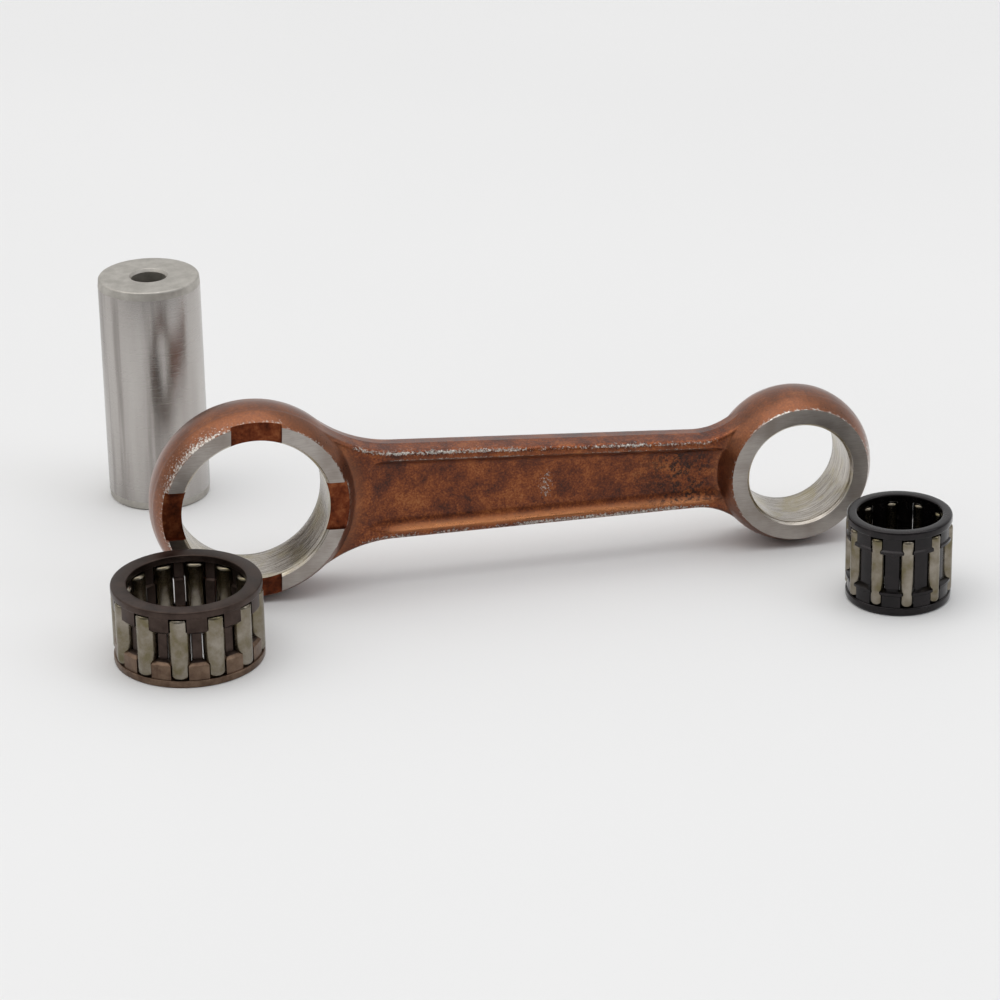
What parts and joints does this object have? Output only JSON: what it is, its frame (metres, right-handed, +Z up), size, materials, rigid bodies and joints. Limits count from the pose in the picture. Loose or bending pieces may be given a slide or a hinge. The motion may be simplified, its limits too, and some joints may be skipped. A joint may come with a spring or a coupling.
{
  "type": "connecting rod",
  "caption": "Forged I-beam connecting rod for a small two-stroke engine, with its crank pin and the caged needle roller bearings of both eyes",
  "frame": {"origin": "centre of the big-end bore", "axes": "+X from the big end towards the small end, level with the bench; +Y along the bores, away from the bearings; +Z up, square to the bench that every piece stands on"},
  "size_m": [0.1566, 0.1024, 0.046],
  "materials": {
    "copper_plated_steel": "forged steel, copper plated, satin; bores and eye faces ground bright",
    "ground_steel": "hardened and ground",
    "browned_steel": "browned, satin",
    "blacked_steel": "blacked, semi-gloss",
    "roller_steel": "ground, lightly oiled"
  },
  "bodies": {
    "rod": {"rod": "copper_plated_steel"},
    "crank_pin": {"crank_pin": "ground_steel"},
    "big_end_cage": {"big_end_cage": "browned_steel"},
    "small_end_cage": {"small_end_cage": "blacked_steel"},
    "big_end_roller_01": {"big_end_roller_01": "roller_steel"},
    "big_end_roller_02": {"big_end_roller_02": "roller_steel"},
    "big_end_roller_03": {"big_end_roller_03": "roller_steel"},
    "big_end_roller_04": {"big_end_roller_04": "roller_steel"},
    "big_end_roller_05": {"big_end_roller_05": "roller_steel"},
    "big_end_roller_06": {"big_end_roller_06": "roller_steel"},
    "big_end_roller_07": {"big_end_roller_07": "roller_steel"},
    "big_end_roller_08": {"big_end_roller_08": "roller_steel"},
    "big_end_roller_09": {"big_end_roller_09": "roller_steel"},
    "big_end_roller_10": {"big_end_roller_10": "roller_steel"},
    "big_end_roller_11": {"big_end_roller_11": "roller_steel"},
    "big_end_roller_12": {"big_end_roller_12": "roller_steel"},
    "small_end_roller_01": {"small_end_roller_01": "roller_steel"},
    "small_end_roller_02": {"small_end_roller_02": "roller_steel"},
    "small_end_roller_03": {"small_end_roller_03": "roller_steel"},
    "small_end_roller_04": {"small_end_roller_04": "roller_steel"},
    "small_end_roller_05": {"small_end_roller_05": "roller_steel"},
    "small_end_roller_06": {"small_end_roller_06": "roller_steel"},
    "small_end_roller_07": {"small_end_roller_07": "roller_steel"},
    "small_end_roller_08": {"small_end_roller_08": "roller_steel"},
    "small_end_roller_09": {"small_end_roller_09": "roller_steel"},
    "small_end_roller_10": {"small_end_roller_10": "roller_steel"}
  },
  "joints": [
    {"name": "crank_pin_lift", "type": "slide", "parent": "rod", "child": "crank_pin", "axis": [0, 0, 1], "range_m": [0, 0.06]},
    {"name": "big_end_bearing_lift", "type": "slide", "parent": "rod", "child": "big_end_cage", "axis": [0, 0, 1], "range_m": [0, 0.06]},
    {"name": "small_end_bearing_lift", "type": "slide", "parent": "rod", "child": "small_end_cage", "axis": [0, 0, 1], "range_m": [0, 0.06]},
    {"name": "big_end_roller_01_spin", "type": "hinge", "parent": "big_end_cage", "child": "big_end_roller_01", "pos_m": [-0.00744, -0.01524, -0.0113], "axis": [0, 0, 1], "continuous": true},
    {"name": "big_end_roller_02_spin", "type": "hinge", "parent": "big_end_cage", "child": "big_end_roller_02", "pos_m": [-0.01279, -0.01209, -0.0113], "axis": [0, 0, 1], "continuous": true},
    {"name": "big_end_roller_03_spin", "type": "hinge", "parent": "big_end_cage", "child": "big_end_roller_03", "pos_m": [-0.019, -0.01203, -0.0113], "axis": [0, 0, 1], "continuous": true},
    {"name": "big_end_roller_04_spin", "type": "hinge", "parent": "big_end_cage", "child": "big_end_roller_04", "pos_m": [-0.02441, -0.01509, -0.0113], "axis": [0, 0, 1], "continuous": true},
    {"name": "big_end_roller_05_spin", "type": "hinge", "parent": "big_end_cage", "child": "big_end_roller_05", "pos_m": [-0.02756, -0.02044, -0.0113], "axis": [0, 0, 1], "continuous": true},
    {"name": "big_end_roller_06_spin", "type": "hinge", "parent": "big_end_cage", "child": "big_end_roller_06", "pos_m": [-0.02762, -0.02665, -0.0113], "axis": [0, 0, 1], "continuous": true},
    {"name": "big_end_roller_07_spin", "type": "hinge", "parent": "big_end_cage", "child": "big_end_roller_07", "pos_m": [-0.02456, -0.03206, -0.0113], "axis": [0, 0, 1], "continuous": true},
    {"name": "big_end_roller_08_spin", "type": "hinge", "parent": "big_end_cage", "child": "big_end_roller_08", "pos_m": [-0.01921, -0.03521, -0.0113], "axis": [0, 0, 1], "continuous": true},
    {"name": "big_end_roller_09_spin", "type": "hinge", "parent": "big_end_cage", "child": "big_end_roller_09", "pos_m": [-0.013, -0.03527, -0.0113], "axis": [0, 0, 1], "continuous": true},
    {"name": "big_end_roller_10_spin", "type": "hinge", "parent": "big_end_cage", "child": "big_end_roller_10", "pos_m": [-0.00759, -0.03221, -0.0113], "axis": [0, 0, 1], "continuous": true},
    {"name": "big_end_roller_11_spin", "type": "hinge", "parent": "big_end_cage", "child": "big_end_roller_11", "pos_m": [-0.00444, -0.02686, -0.0113], "axis": [0, 0, 1], "continuous": true},
    {"name": "big_end_roller_12_spin", "type": "hinge", "parent": "big_end_cage", "child": "big_end_roller_12", "pos_m": [-0.00438, -0.02065, -0.0113], "axis": [0, 0, 1], "continuous": true},
    {"name": "small_end_roller_01_spin", "type": "hinge", "parent": "small_end_cage", "child": "small_end_roller_01", "pos_m": [0.12294, -0.02464, -0.0113], "axis": [0, 0, 1], "continuous": true},
    {"name": "small_end_roller_02_spin", "type": "hinge", "parent": "small_end_cage", "child": "small_end_roller_02", "pos_m": [0.11805, -0.02232, -0.0113], "axis": [0, 0, 1], "continuous": true},
    {"name": "small_end_roller_03_spin", "type": "hinge", "parent": "small_end_cage", "child": "small_end_roller_03", "pos_m": [0.11274, -0.02332, -0.0113], "axis": [0, 0, 1], "continuous": true},
    {"name": "small_end_roller_04_spin", "type": "hinge", "parent": "small_end_cage", "child": "small_end_roller_04", "pos_m": [0.10902, -0.02725, -0.0113], "axis": [0, 0, 1], "continuous": true},
    {"name": "small_end_roller_05_spin", "type": "hinge", "parent": "small_end_cage", "child": "small_end_roller_05", "pos_m": [0.10832, -0.03261, -0.0113], "axis": [0, 0, 1], "continuous": true},
    {"name": "small_end_roller_06_spin", "type": "hinge", "parent": "small_end_cage", "child": "small_end_roller_06", "pos_m": [0.11091, -0.03736, -0.0113], "axis": [0, 0, 1], "continuous": true},
    {"name": "small_end_roller_07_spin", "type": "hinge", "parent": "small_end_cage", "child": "small_end_roller_07", "pos_m": [0.1158, -0.03968, -0.0113], "axis": [0, 0, 1], "continuous": true},
    {"name": "small_end_roller_08_spin", "type": "hinge", "parent": "small_end_cage", "child": "small_end_roller_08", "pos_m": [0.12111, -0.03868, -0.0113], "axis": [0, 0, 1], "continuous": true},
    {"name": "small_end_roller_09_spin", "type": "hinge", "parent": "small_end_cage", "child": "small_end_roller_09", "pos_m": [0.12483, -0.03475, -0.0113], "axis": [0, 0, 1], "continuous": true},
    {"name": "small_end_roller_10_spin", "type": "hinge", "parent": "small_end_cage", "child": "small_end_roller_10", "pos_m": [0.12552, -0.02939, -0.0113], "axis": [0, 0, 1], "continuous": true}
  ]
}
